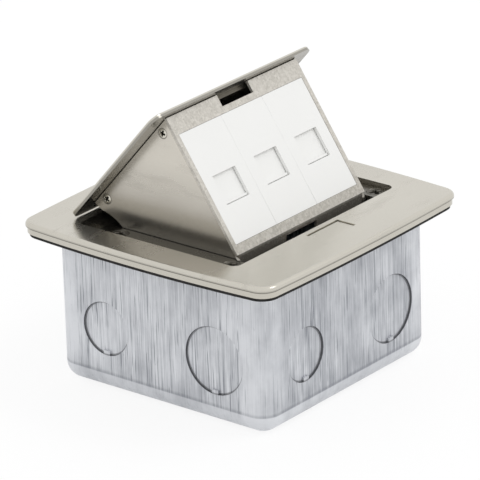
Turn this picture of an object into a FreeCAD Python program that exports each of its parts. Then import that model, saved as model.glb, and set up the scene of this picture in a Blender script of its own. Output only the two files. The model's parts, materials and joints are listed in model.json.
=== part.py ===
import FreeCAD, Part
import math
import os
import re
import Sketcher

# Pop-up floor socket box. X runs along the hinge, the pop-up faces -Y, Z is up.
# The origin is at the middle of the steel box's underside. Sizes are in millimetres.
# The pop-up is stored open. Its pieces are drawn closed, with the hinge axis as their
# local origin, and their Placement turns them up to the open position.

os.makedirs("parts", exist_ok=True)
doc = FreeCAD.newDocument("floor_socket_box")
Vector = FreeCAD.Vector

sizes = {
    # steel box
    "box_side": 102,
    "box_depth": 60,
    "box_wall": 1.2,
    "box_corner": 7.6,
    "box_bottom_round": 7,
    "knockout_height": 26.2,
    "knockout_offset": 26.5,
    "knockout_small_radius": 11,
    "knockout_large_radius": 13.8,
    "knockout_sink": 0.9,
    "knockout_bridge": 3,
    "fixing_spacing": 60,
    "fixing_hole_radius": 2.5,
    "earth_side": 43.8,
    "earth_front": 4,
    "earth_stud_radius": 2,
    "earth_stud_length": 13,
    "earth_nut_radius": 3.6,
    "earth_nut_thickness": 3,
    "earth_nut_lift": 3.4,
    # cover
    "cover_side": 120,
    "cover_bow_sides": 2.6,
    "cover_bow_ends": 1.4,
    "cover_corner": 7,
    "skin_thickness": 2,
    "skin_round": 1.5,
    "base_thickness": 2.6,
    "base_inset": 0.5,
    "gasket_thickness": 1.4,
    "gasket_inset": 1.1,
    "gasket_ease": 0.3,
    "opening_width": 98,
    "opening_front": 37,
    "opening_back": 40,
    "opening_corner": 3,
    "well_front": 36,
    "well_back": 29,
    "lip_depth": 3.4,
    "well_gap": 0.5,
    "ramp_radius": 14,
    "overlap": 0.2,
    # hinge
    "pivot_back": 39.15,
    "pivot_drop": 16.5,
    "open_angle": 48.7,
    "pin_radius": 2,
    "running_gap": 0.05,
    "bush_wall": 1,
    "bush_flange": 1.2,
    "bush_flange_thickness": 0.5,
    "ear_thickness": 3,
    "ear_radius": 5.6,
    "ear_gap": 0.8,
    "pin_reach": 10,
    "spring_wire": 1.1,
    "spring_ease": 0.4,
    "spring_pitch_gap": 0.15,
    "pin_head_radius": 3.6,
    "pin_head_thickness": 1.2,
    # pop-up
    "lid_width": 96,
    "lid_front": 36.2,
    "lid_back": 29.8,
    "lid_thickness": 1.7,
    "lid_corner": 4.5,
    "lid_ease": 0.3,
    "cheek_spread": 78.6,
    "cheek_thickness": 1.5,
    "cheek_front": 33.25,
    "cheek_rear": 22.95,
    "cheek_depth": 58.8,
    "cheek_foot": 7.4,
    "cheek_heel_drop": 1.2,
    "cheek_foot_round": 3,
    "cheek_cut_radius": 19.8,
    "cheek_cut_top": 100,
    "cheek_cut_foot": 133.3,
    "arm_radius": 5.5,
    "face_lean": 14.8,
    "sheet_thickness": 1.2,
    "face_width": 78.5,
    "face_drop": 57.6,
    "face_strip": 7.4,
    "face_window_width": 74.5,
    "face_window_drop": 53.8,
    "face_fold": 6,
    "face_flange": 7,
    "fold_angle": 40,
    "notch_width": 18.7,
    "notch_depth": 4.8,
    "moving_gap": 0.3,
    "bracket_depth": 7,
    "bracket_rear_margin": 5,
    "bracket_front_margin": 3,
    "flange_drop": 3.5,
    "cheek_screw_front": 66.2,
    "cheek_screw_rear": 22.45,
    "cheek_screw_height": 11.8,
    "cheek_screw_radius": 1.1,
    "cheek_screw_head": 1.9,
    "cheek_screw_length": 4.7,
    # data modules
    "module_pitch": 24.8,
    "module_seam": 0.15,
    "module_sink": 0.1,
    "module_plate": 1.3,
    "module_depth": 9,
    "module_wall": 1.4,
    "module_body_width": 23,
    "module_margin": 2,
    "window_width": 13.5,
    "window_top": 26.9,
    "window_height": 12.05,
    "shutter_thickness": 1.2,
    "shutter_width": 15.4,
    "shutter_overlap": 0.8,
    "shutter_lip": 1.2,
    "shutter_ledge": 0.9,
    "jack_height": 18,
    "jack_depth": 21,
    "port_width": 11.8,
    "port_height": 6.9,
    "port_depth": 13,
    "port_raise": 0.6,
    "port_step_width": 6.2,
    "port_groove_width": 3.2,
    "port_step": 1.5,
    "slot_side": 4.6,
    "slot_width": 1,
    "slot_height": 2.6,
    "slot_pitch": 4,
    "slot_start": 7.4,
    "slot_depth": 4,
    "contact_pitch": 1.02,
    "contact_width": 0.5,
    "contact_length": 9.5,
    "contact_thickness": 0.35,
    "contact_slope": 20,
    "contact_start": 1.2,
    # latch
    "button_width": 18.7,
    "button_length": 8.3,
    "button_front": 47.8,
    "button_sink": 0.4,
    "button_flange": 0.7,
    "button_ease": 0.4,
    "lip_thickness": 1,
    "latch_travel": 2,
    "wedge_width": 7.4,
    "wedge_front": 44.5,
    "wedge_flat": 0.8,
    "bolt_drop": 0.6,
    "bolt_width": 18.6,
    "bolt_thickness": 1.5,
    "bolt_nose_width": 17,
    "bolt_tip": 32.3,
    "bolt_tail": 2.4,
    "bolt_nose_thickness": 1.5,
    "upright_front": 35.6,
    "upright_thickness": 1.4,
    "guide_back": 35,
    "guide_length": 13.8,
    # damper
    "sector_radius": 10,
    "pinion_radius": 5,
    "gear_module": 1,
    "gear_thickness": 2.6,
    "tooth_rise": 0.9,
    "tooth_drop": 1.2,
    "tooth_crest": 0.13,
    "tooth_foot": 0.31,
    "sector_start": 207,
    "sector_hub": 2.75,
    "damper_gap": 0.4,
    "damper_radius": 7,
    "damper_length": 8,
    "damper_shaft": 1.45,
    "bracket_thickness": 1.5,
    "bracket_half_width": 6,
    "bracket_foot": 9,
    # cover screws and lugs
    "cover_screw_side": 44.5,
    "cover_screw_front": 31,
    "cover_screw_back": 23,
    "cover_screw_radius": 2,
    "cover_screw_head": 3.7,
    "cover_screw_length": 12,
    "lug_width": 12,
    "lug_thickness": 1.5,
    "lug_drop": 1,
}

sheet = doc.addObject("Spreadsheet::Sheet", "Sizes")
for row, (alias, size) in enumerate(sizes.items(), 1):
    sheet.set(f"A{row}", alias)
    sheet.set(f"B{row}", str(size))
    sheet.setAlias(f"B{row}", alias)
doc.recompute()

# Heights and places that several pieces share, as expressions of the sheet's sizes.
base_bottom = "(box_depth + gasket_thickness)"
base_top = f"({base_bottom} + base_thickness)"
cover_top = f"({base_top} + skin_thickness)"
pivot_height = f"({cover_top} - pivot_drop)"
lid_underside = "(pivot_drop - lid_thickness)"
cheek_top = f"({lid_underside} - moving_gap)"
cheek_inner = "(cheek_spread / 2 - cheek_thickness)"
ear_inner = "(cheek_spread / 2 + ear_gap)"
button_back = "(button_front - button_length)"
bush_outer = "(pin_radius + running_gap + bush_wall)"
module_back = "(module_sink + module_depth)"

kept = []


def bound(expression):
    """Put the sheet's name before each size that an expression uses."""
    named = lambda word: "Sizes." + word.group() if word.group() in sizes else word.group()
    return re.sub(r"[a-z]\w*", named, str(expression))


def value(expression):
    return float(sheet.evalExpression(bound(expression)))


def new_body(label):
    body = doc.addObject("PartDesign::Body", label)
    kept.append(body)
    return body


def keep(item, label):
    item.Label = label
    kept.append(item)
    return item


def sketch(body, plane, lift="0"):
    """A sketch on one of the body's origin planes, lifted along the plane's normal."""
    drawing = body.newObject("Sketcher::SketchObject", body.Name + "_sketch")
    support = next(item for item in body.Origin.OriginFeatures if item.Role == plane)
    drawing.AttachmentSupport = (support, "")
    drawing.MapMode = "FlatFace"
    drawing.setExpression("AttachmentOffset.Base.z", bound(lift))
    return drawing


def side_curve(start, end, radius, turn):
    """The shorter arc from start to end; turn is 1 when it runs anticlockwise, -1 clockwise."""
    half = (end - start) * 0.5
    across = Vector(-half.y, half.x, 0).normalize() * turn
    centre = start + half + across * (radius * radius - half.Length ** 2) ** 0.5
    middle = centre - across * radius
    return Part.Arc(start, middle, end)


def outline(drawing, corners):
    """A closed loop through corners, each (x, y) or (x, y, radius, turn) where its side is an arc."""
    points = [Vector(value(corner[0]), value(corner[1]), 0) for corner in corners]
    first = drawing.GeometryCount
    heads = []
    for index, corner in enumerate(corners):
        start = points[index]
        end = points[(index + 1) % len(points)]
        if len(corner) == 2:
            drawing.addGeometry(Part.LineSegment(start, end))
            heads.append((1, 2))
        else:
            drawing.addGeometry(side_curve(start, end, value(corner[2]), corner[3]))
            heads.append((1, 2) if corner[3] > 0 else (2, 1))
            size = drawing.addConstraint(Sketcher.Constraint("Radius", first + index, value(corner[2])))
            drawing.setExpression(f"Constraints[{size}]", bound(corner[2]))
    for index, corner in enumerate(corners):
        here = first + index
        before = first + (index - 1) % len(corners)
        head = heads[index][0]
        tail = heads[index - 1][1]
        drawing.addConstraint(Sketcher.Constraint("Coincident", before, tail, here, head))
        for kind, place in (("DistanceX", corner[0]), ("DistanceY", corner[1])):
            size = drawing.addConstraint(Sketcher.Constraint(kind, here, head, value(place)))
            drawing.setExpression(f"Constraints[{size}]", bound(place))


def rectangle(drawing, left, bottom, right, top):
    outline(drawing, [(left, bottom), (right, bottom), (right, top), (left, top)])


def round_rectangle(drawing, left, bottom, right, top, radius):
    outline(drawing, [
        (f"{left} + {radius}", bottom), (f"{right} - {radius}", bottom, radius, 1),
        (right, f"{bottom} + {radius}"), (right, f"{top} - {radius}", radius, 1),
        (f"{right} - {radius}", top), (f"{left} + {radius}", top, radius, 1),
        (left, f"{top} - {radius}"), (left, f"{bottom} + {radius}", radius, 1)])


def circle(drawing, x, y, radius):
    item = drawing.addGeometry(Part.Circle(Vector(value(x), value(y), 0), Vector(0, 0, 1), value(radius)))
    for kind, place in (("DistanceX", x), ("DistanceY", y)):
        size = drawing.addConstraint(Sketcher.Constraint(kind, item, 3, value(place)))
        drawing.setExpression(f"Constraints[{size}]", bound(place))
    size = drawing.addConstraint(Sketcher.Constraint("Radius", item, value(radius)))
    drawing.setExpression(f"Constraints[{size}]", bound(radius))


def bowed_square(drawing, inset):
    """The cover's outline: four sides that each bow out a little, meeting at sharp corners."""
    half = f"(cover_side / 2 - {inset})"
    across = f"(({half} ^ 2 + cover_bow_sides ^ 2) / (2 * cover_bow_sides))"
    along = f"(({half} ^ 2 + cover_bow_ends ^ 2) / (2 * cover_bow_ends))"
    outline(drawing, [
        (f"-{half}", f"-{half}", along, 1), (half, f"-{half}", across, 1),
        (half, half, along, 1), (f"-{half}", half, across, 1)])


def pad(body, drawing, length):
    feature = body.newObject("PartDesign::Pad", body.Name + "_pad")
    feature.Profile = drawing
    feature.setExpression("Length", bound(length))
    doc.recompute()
    return feature


def pocket(body, drawing, length, backwards=False):
    """A cut of the given length, against the sketch's normal or, backwards, along it."""
    before = body.Shape.Volume
    feature = body.newObject("PartDesign::Pocket", body.Name + "_pocket")
    feature.Profile = drawing
    feature.setExpression("Length", bound(length))
    feature.Reversed = backwards
    doc.recompute()
    if body.Shape.Volume > before - 1e-6:
        raise RuntimeError(f"{body.Label}: {feature.Name} removes nothing")
    return feature


def soften(body, kind, size, chosen):
    """A Fillet or Chamfer on the edges of the body's last feature that chosen picks."""
    base = body.Tip
    names = [f"Edge{index}" for index, edge in enumerate(base.Shape.Edges, 1) if chosen(edge)]
    feature = body.newObject("PartDesign::" + kind, body.Name + "_" + kind.lower())
    feature.Base = (base, names)
    feature.setExpression("Radius" if kind == "Fillet" else "Size", bound(size))
    doc.recompute()
    if "Invalid" in feature.State:
        raise RuntimeError(f"{body.Label}: {feature.Name} {feature.getStatusString()}")
    return feature


def along(edge, axis):
    """Whether an edge is straight and runs along the axis numbered 0, 1 or 2."""
    if len(edge.Vertexes) != 2 or edge.Curve.TypeId != "Part::GeomLine":
        return False
    step = edge.Vertexes[1].Point - edge.Vertexes[0].Point
    return abs(abs(step[axis]) - step.Length) < 1e-6


def near(number, target):
    return abs(number - target) < 0.01


def put(item, x="0", y="0", z="0", angle="0"):
    """Place an item, turned by angle about X, with every value tied to the sheet."""
    item.Placement = FreeCAD.Placement(Vector(), FreeCAD.Rotation(Vector(1, 0, 0), 1))
    for name, expression in (("Base.x", x), ("Base.y", y), ("Base.z", z), ("Rotation.Angle", angle)):
        item.setExpression("Placement." + name, bound(expression))


def raise_open(item):
    """Turn a pop-up piece, drawn closed about the hinge axis, to its open place."""
    put(item, y="pivot_back", z=pivot_height, angle="-open_angle")


def on_face(item, x="0"):
    """Place a piece drawn flat on the pop-up's face: x across, y inwards, z up the slope."""
    forward = "(cheek_front + pivot_back)"
    y = f"pivot_back - {forward} * cos(open_angle) + {cheek_top} * sin(open_angle)"
    z = f"{pivot_height} + {forward} * sin(open_angle) + {cheek_top} * cos(open_angle)"
    put(item, x=x, y=y, z=z, angle="face_lean - open_angle")


def solid(kind, **expressions):
    """A Part primitive whose named properties are tied to the sheet."""
    item = doc.addObject("Part::" + kind, kind.lower())
    for name, expression in expressions.items():
        item.setExpression(name, bound(expression))
    return item


def turn(item, axis, angle):
    item.Placement = FreeCAD.Placement(item.Placement.Base, FreeCAD.Rotation(axis, angle))
    return item


def shift(item, x="0", y="0", z="0"):
    for name, expression in (("x", x), ("y", y), ("z", z)):
        item.setExpression("Placement.Base." + name, bound(expression))
    return item


def fuse(*items):
    result = doc.addObject("Part::MultiFuse", "fuse")
    result.Shapes = list(items)
    return result


def cut(base, tool):
    result = doc.addObject("Part::Cut", "cut")
    result.Base = base
    result.Tool = tool
    return result


def group(items):
    result = doc.addObject("Part::Compound", "group")
    result.Links = items
    return result


# ---- steel box ----

def back_box():
    box = new_body("back_box")
    half = "box_side / 2"
    floor = sketch(box, "XY_Plane")
    rectangle(floor, f"-{half}", f"-{half}", half, half)
    pad(box, floor, "box_depth")
    inner = "(box_side / 2 - box_wall)"
    mouth = sketch(box, "XY_Plane", "box_depth")
    rectangle(mouth, f"-{inner}", f"-{inner}", inner, inner)
    pocket(box, mouth, "box_depth - box_wall")
    # the hollow's corners and floor are eased first, then the outside, so the wall stays even
    for reach, bottom, less, kind in ((inner, "box_wall", " - 2.2 * box_wall", "Chamfer"),
                                      (half, "0", "", "Fillet")):
        corner = value(reach)
        level = value(bottom)
        soften(box, "Fillet", "box_corner" + (" - box_wall" if less else ""),
               lambda edge: along(edge, 2) and near(abs(edge.BoundBox.XMin), corner))
        soften(box, kind, "box_bottom_round" + less,
               lambda edge: near(edge.BoundBox.ZMin, level) and near(edge.BoundBox.ZMax, level))
    wall = sketch(box, "XZ_Plane", half)
    circle(wall, "-knockout_offset", "knockout_height", "knockout_small_radius")
    circle(wall, "knockout_offset", "knockout_height", "knockout_large_radius")
    holes = pocket(box, wall, "box_wall + knockout_sink")
    around = box.newObject("PartDesign::PolarPattern", "back_box_sides")
    around.Originals = [holes]
    axis = next(item for item in box.Origin.OriginFeatures if item.Role == "Z_Axis")
    around.Axis = (axis, [""])
    around.Angle = 360
    around.Occurrences = 4
    box.Tip = around
    doc.recompute()
    under = sketch(box, "XY_Plane", "box_wall")
    for x in ("-fixing_spacing / 2", "fixing_spacing / 2"):
        for y in ("-fixing_spacing / 2", "fixing_spacing / 2"):
            circle(under, x, y, "fixing_hole_radius")
    pocket(box, under, "2 * box_wall")


def knockouts(label, offset, radius):
    """One push-out disc in each wall, pressed in and still held by a small bridge at its foot."""
    discs = []
    for quarter in range(4):
        disc = solid("Cylinder", Radius=radius, Height="box_wall")
        turn(disc, Vector(1, 0, 0), -90)
        shift(disc, offset, "-(box_side / 2 - knockout_sink)", "knockout_height")
        bridge = solid("Box", Length="knockout_bridge", Width="knockout_sink + overlap",
                       Height="1.5 * box_wall")
        shift(bridge, f"{offset} - knockout_bridge / 2", "-box_side / 2",
              f"knockout_height - sqrt({radius} ^ 2 - knockout_bridge ^ 2 / 4)")
        discs.append(turn(group([fuse(disc, bridge)]), Vector(0, 0, 1), 90 * quarter))
    keep(group(discs), label)


def box_lugs():
    """Four angle lugs on the box's side walls that take the cover screws."""
    lugs = []
    for side in (-1, 1):
        for middle in ("-cover_screw_front", "cover_screw_back"):
            wall = "(box_side / 2 - box_wall)"
            reach = f"({wall} - cheek_spread / 2 - lug_drop)"
            top = "(box_depth - lug_drop)"
            shelf = solid("Box", Length=reach, Width="lug_width", Height="lug_thickness")
            start = f"-{wall}" if side < 0 else f"{wall} - {reach}"
            shift(shelf, start, f"{middle} - lug_width / 2", f"{top} - lug_thickness")
            leg = solid("Box", Length="lug_thickness", Width="lug_width", Height="lug_width")
            start = f"-{wall}" if side < 0 else f"{wall} - lug_thickness"
            shift(leg, start, f"{middle} - lug_width / 2", f"{top} - lug_width")
            hole = solid("Cylinder", Radius="cover_screw_radius", Height="4 * lug_thickness")
            shift(hole, f"{side} * cover_screw_side", middle, "box_depth - 4 * lug_thickness")
            lugs.append(cut(fuse(shelf, leg), hole))
    keep(group(lugs), "box_lugs")


def earth_terminal():
    """The earthing stud on the box's floor, and its nut part of the way up."""
    stud = solid("Cylinder", Radius="earth_stud_radius", Height="earth_stud_length")
    shift(stud, "-earth_side", "-earth_front", "box_wall")
    keep(stud, "earth_stud")
    nut = solid("Prism", Polygon="6", Circumradius="earth_nut_radius", Height="earth_nut_thickness")
    bore = solid("Cylinder", Radius="earth_stud_radius", Height="earth_nut_thickness")
    for item in (nut, bore):
        shift(item, "-earth_side", "-earth_front", "box_wall + earth_nut_lift")
    keep(cut(nut, bore), "earth_nut")


# ---- cover ----

def on_rim(edge, inset):
    """Whether an edge lies on the cover's outer rim and not on an opening."""
    half = value(f"cover_side / 2 - {inset} - cover_corner - base_inset")
    box = edge.BoundBox
    return max(abs(box.XMin), abs(box.XMax)) > half and max(abs(box.YMin), abs(box.YMax)) > half


def button_hole(drawing):
    rectangle(drawing, "-button_width / 2 - moving_gap", "-button_front - moving_gap",
              "button_width / 2 + moving_gap", f"-{button_back} + moving_gap")


def cover_plate():
    plate = new_body("cover_plate")
    face = sketch(plate, "XY_Plane", base_top)
    bowed_square(face, "0")
    round_rectangle(face, "-opening_width / 2", "-opening_front", "opening_width / 2", "opening_back",
                    "opening_corner")
    button_hole(face)
    pad(plate, face, "skin_thickness")
    soften(plate, "Fillet", "cover_corner", lambda edge: along(edge, 2) and on_rim(edge, "0"))
    soften(plate, "Fillet", "skin_round",
           lambda edge: near(edge.BoundBox.ZMin, value(cover_top)) and on_rim(edge, "0"))


def gasket():
    seal = new_body("gasket")
    ring = sketch(seal, "XY_Plane", "box_depth")
    bowed_square(ring, "gasket_inset")
    inner = "(box_side / 2 - box_wall - gasket_ease)"
    round_rectangle(ring, f"-{inner}", f"-{inner}", inner, inner, "(box_corner - box_wall)")
    pad(seal, ring, "gasket_thickness")
    soften(seal, "Fillet", "cover_corner",
           lambda edge: along(edge, 2) and on_rim(edge, "gasket_inset"))


def cover_base():
    base = new_body("cover_base")
    face = sketch(base, "XY_Plane", base_bottom)
    bowed_square(face, "base_inset")
    well = "(cheek_spread / 2 + well_gap)"
    rectangle(face, f"-{well}", "-well_front", well, "well_back")
    button_hole(face)
    for side in (-1, 1):
        for y in ("-cover_screw_front", "cover_screw_back"):
            circle(face, f"{side} * cover_screw_side", y, "cover_screw_radius")
    pad(base, face, "base_thickness")
    soften(base, "Fillet", "cover_corner", lambda edge: along(edge, 2) and on_rim(edge, "base_inset"))
    rim = value(base_top)
    soften(base, "Chamfer", "cover_screw_head - cover_screw_radius",
           lambda edge: edge.Curve.TypeId == "Part::GeomCircle" and near(edge.BoundBox.ZMin, rim)
           and near(edge.Curve.Radius, value("cover_screw_radius")))
    # the lid's rear edge swings over a flat lip and a ramp that rises to the cover plate
    ramp = sketch(base, "YZ_Plane", "-opening_width / 2 + overlap / 2")
    lip = "well_back + lip_depth"
    outline(ramp, [(lip, f"{base_top} - overlap"), ("opening_back", f"{base_top} - overlap"),
                   ("opening_back", f"{cover_top} - overlap", "ramp_radius", 1), (lip, base_top)])
    pad(base, ramp, "opening_width - overlap")
    back = value("opening_back")
    soften(base, "Fillet", "opening_corner", lambda edge: along(edge, 2)
           and near(edge.BoundBox.YMin, back) and edge.BoundBox.ZMin > value(base_bottom))
    for lift in (f"-{ear_inner} - ear_thickness", ear_inner):
        ear = sketch(base, "YZ_Plane", lift)
        root = f"{base_bottom} + overlap"
        outline(ear, [
            ("pivot_back - ear_radius", root), ("pivot_back - ear_radius", pivot_height, "ear_radius", 1),
            ("pivot_back", f"{pivot_height} - ear_radius", "ear_radius", 1),
            ("pivot_back + ear_radius", pivot_height), ("pivot_back + ear_radius", root)])
        circle(ear, "pivot_back", pivot_height, "pin_radius")
        pad(base, ear, "ear_thickness")


def countersunk_screw(radius, head, length):
    """A countersunk screw, its head's flat top at z = 0 and its axis along Z."""
    depth = f"({head} - {radius})"
    cone = solid("Cone", Radius1=radius, Radius2=head, Height=depth)
    shift(cone, z=f"-{depth}")
    shank = solid("Cylinder", Radius=radius, Height=f"{length} - {depth}")
    shift(shank, z=f"-{length}")
    return fuse(cone, shank)


def cover_screws():
    screws = []
    for side in (-1, 1):
        for y in ("-cover_screw_front", "cover_screw_back"):
            screw = countersunk_screw("cover_screw_radius", "cover_screw_head", "cover_screw_length")
            shift(screw, f"{side} * cover_screw_side", y, base_top)
            screws.append(screw)
    keep(group(screws), "cover_screws")


# ---- latch ----

flange_top = f"({base_bottom} - moving_gap)"
flange_bottom = f"({flange_top} - lip_thickness)"
bolt_top = f"({flange_bottom} - latch_travel - bolt_drop)"
bolt_bottom = f"({bolt_top} - bolt_thickness)"
wedge_top = f"({bolt_bottom} + latch_travel + 2 * overlap)"
wedge_foot = f"({bolt_bottom} - bolt_drop)"
wedge_inner = f"({wedge_top} - {wedge_foot} + wedge_flat - wedge_front)"
wedge_gap = "(moving_gap * sqrt(2))"
upright_back = "(upright_thickness - upright_front)"


def latch_button():
    """The push button: cap, two retaining lips and a wedge that drives the bolt."""
    button = new_body("latch_button")
    cap = sketch(button, "XY_Plane", flange_top)
    rectangle(cap, "-button_width / 2", "-button_front", "button_width / 2", f"-{button_back}")
    pad(button, cap, f"{cover_top} - button_sink - {flange_top}")
    top = value(f"{cover_top} - button_sink")
    soften(button, "Fillet", "button_ease", lambda edge: near(edge.BoundBox.ZMin, top))
    lips = sketch(button, "XY_Plane", flange_bottom)
    rectangle(lips, "-button_width / 2", "-button_front - button_flange", "button_width / 2",
              f"-{button_back} + button_flange")
    pad(button, lips, f"{flange_top} - {flange_bottom}")
    wedge = sketch(button, "YZ_Plane", "-wedge_width / 2")
    root = f"{flange_bottom} + overlap"
    outline(wedge, [("-wedge_front", root), ("-wedge_front", wedge_top),
                    (f"{wedge_inner} - wedge_flat", wedge_foot), (wedge_inner, wedge_foot),
                    (wedge_inner, root)])
    pad(button, wedge, "wedge_width")


def latch_bolt():
    """The sliding bolt: a plate with the wedge's window, an upright and a hooked nose."""
    bolt = new_body("latch_bolt")
    plate = sketch(bolt, "XY_Plane", bolt_bottom)
    slope_top = f"({wedge_top} - {bolt_top} - {wedge_gap} - wedge_front)"
    rectangle(plate, "-bolt_width / 2", f"{slope_top} - bolt_tail", "bolt_width / 2", upright_back)
    pad(bolt, plate, "bolt_thickness")
    window = sketch(bolt, "YZ_Plane", "wedge_width / 2 + moving_gap")
    front = f"({wedge_inner} + latch_travel + moving_gap)"
    outline(window, [(slope_top, bolt_top), (f"{slope_top} + bolt_thickness", bolt_bottom),
                     (front, bolt_bottom), (front, bolt_top)])
    pocket(bolt, window, "wedge_width + 2 * moving_gap")
    hook = sketch(bolt, "YZ_Plane", "-bolt_nose_width / 2")
    nose_bottom = f"{flange_top} - bolt_nose_thickness"
    outline(hook, [("-upright_front", f"{bolt_top} - overlap"), (upright_back, f"{bolt_top} - overlap"),
                   (upright_back, nose_bottom), ("-bolt_tip", nose_bottom),
                   ("-bolt_tip", f"{flange_top} - 1"), ("-bolt_tip - 1", flange_top),
                   ("-upright_front", flange_top)])
    pad(bolt, hook, "bolt_nose_width")


def latch_guide():
    """A channel under the cover base that carries the bolt."""
    guide = new_body("latch_guide")
    inner = "(bolt_width / 2 + damper_gap)"
    outer = f"({inner} + sheet_thickness)"
    floor = f"({bolt_bottom} - moving_gap)"
    channel = sketch(guide, "XZ_Plane", "guide_back")
    outline(channel, [
        (f"-{outer}", base_bottom), (f"-{outer}", f"{floor} - sheet_thickness"),
        (outer, f"{floor} - sheet_thickness"), (outer, base_bottom), (inner, base_bottom),
        (inner, floor), (f"-{inner}", floor), (f"-{inner}", base_bottom)])
    pad(guide, channel, "guide_length")
    slot = sketch(guide, "XY_Plane", floor)
    rectangle(slot, "-wedge_width / 2 - moving_gap", "-wedge_front - sheet_thickness",
              "wedge_width / 2 + moving_gap", f"-{button_back}")
    pocket(guide, slot, "2 * sheet_thickness")


# ---- pop-up ----

def lid_plate():
    lid = new_body("lid_plate")
    face = sketch(lid, "XY_Plane", lid_underside)
    round_rectangle(face, "-lid_width / 2", "(-lid_front - pivot_back)", "lid_width / 2",
                    "(lid_back - pivot_back)", "lid_corner")
    pad(lid, face, "lid_thickness")
    soften(lid, "Chamfer", "lid_ease", lambda edge: near(edge.BoundBox.ZMin, value("pivot_drop")))
    raise_open(lid)


def lid_bracket():
    """A folded tray under the lid: its flanges take the cheek screws."""
    tray = new_body("lid_bracket")
    section = sketch(tray, "XZ_Plane", "cheek_screw_rear - bracket_rear_margin")
    low = f"{lid_underside} - bracket_depth"
    inside = f"({cheek_inner} - sheet_thickness)"
    outline(section, [
        (f"-{cheek_inner}", lid_underside), (f"-{cheek_inner}", low), (f"-{inside}", low),
        (f"-{inside}", f"{lid_underside} - sheet_thickness"), (inside, f"{lid_underside} - sheet_thickness"),
        (inside, low), (cheek_inner, low), (cheek_inner, lid_underside)])
    pad(tray, section, "cheek_screw_front - cheek_screw_rear + bracket_rear_margin + bracket_front_margin")
    holes = sketch(tray, "YZ_Plane", "face_width / 2")
    for y in ("-cheek_screw_front", "-cheek_screw_rear"):
        circle(holes, y, "cheek_screw_height", "cheek_screw_radius")
    pocket(tray, holes, "face_width")
    raise_open(tray)


def cheek(label, side):
    """One side cheek: a sheet plate with the cut concentric with the hinge, and its arm."""
    plate = new_body(label)
    drawing = sketch(plate, "YZ_Plane", "-cheek_spread / 2" if side < 0 else cheek_inner)
    front = "(cheek_front + pivot_back - sheet_thickness / cos(face_lean))"
    rear = "(pivot_back - cheek_rear)"
    foot = f"({front} - cheek_depth * tan(face_lean))"
    foot_height = f"({cheek_top} - cheek_depth)"
    heel = f"({foot} - cheek_foot)"
    heel_height = f"({foot_height} - cheek_heel_drop)"
    reach = f"sqrt({heel} ^ 2 + {heel_height} ^ 2)"
    # the arm's lower side leaves the heel and touches the boss
    drop = f"sqrt({reach} ^ 2 - arm_radius ^ 2)"
    touch_y = f"(-{heel} * arm_radius ^ 2 - {heel_height} * arm_radius * {drop}) / ({reach} ^ 2)"
    touch_z = f"({heel_height} * arm_radius ^ 2 - {heel} * arm_radius * {drop}) / ({reach} ^ 2)"
    # the cut's two ends, as they stand when the pop-up is open
    top = "cheek_cut_top + open_angle"
    low = "cheek_cut_foot + open_angle"
    outline(drawing, [
        (f"-{front}", cheek_top), (f"-{foot}", foot_height), (f"-{heel}", heel_height),
        (touch_y, touch_z, "arm_radius", 1), ("arm_radius", "0", "arm_radius", 1),
        ("0", "arm_radius", "arm_radius", 1),
        (f"arm_radius * cos({low})", f"arm_radius * sin({low})"),
        (f"cheek_cut_radius * cos({low})", f"cheek_cut_radius * sin({low})", "cheek_cut_radius", -1),
        (f"cheek_cut_radius * cos({top})", f"cheek_cut_radius * sin({top})"),
        (f"-{rear}", cheek_top)])
    circle(drawing, "0", "0", bush_outer)
    for y in ("-cheek_screw_front", "-cheek_screw_rear"):
        circle(drawing, y, "cheek_screw_height", "cheek_screw_radius")
    pad(plate, drawing, "cheek_thickness")
    outside = value("cheek_spread / 2") * side
    soften(plate, "Chamfer", "cheek_screw_head - cheek_screw_radius",
           lambda edge: edge.Curve.TypeId == "Part::GeomCircle" and near(edge.BoundBox.XMin, outside)
           and near(edge.Curve.Radius, value("cheek_screw_radius")))
    corner = -value(foot)
    soften(plate, "Fillet", "cheek_foot_round",
           lambda edge: along(edge, 0) and near(edge.BoundBox.YMin, corner))
    raise_open(plate)


def cheek_screws():
    screws = []
    for side in (-1, 1):
        for y in ("-cheek_screw_front", "-cheek_screw_rear"):
            screw = countersunk_screw("cheek_screw_radius", "cheek_screw_head", "cheek_screw_length")
            turn(screw, Vector(0, 1, 0), 90 * side)
            shift(screw, f"{side} * cheek_spread / 2", y, "cheek_screw_height")
            screws.append(screw)
    raise_open(keep(group(screws), "cheek_screws"))


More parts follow.
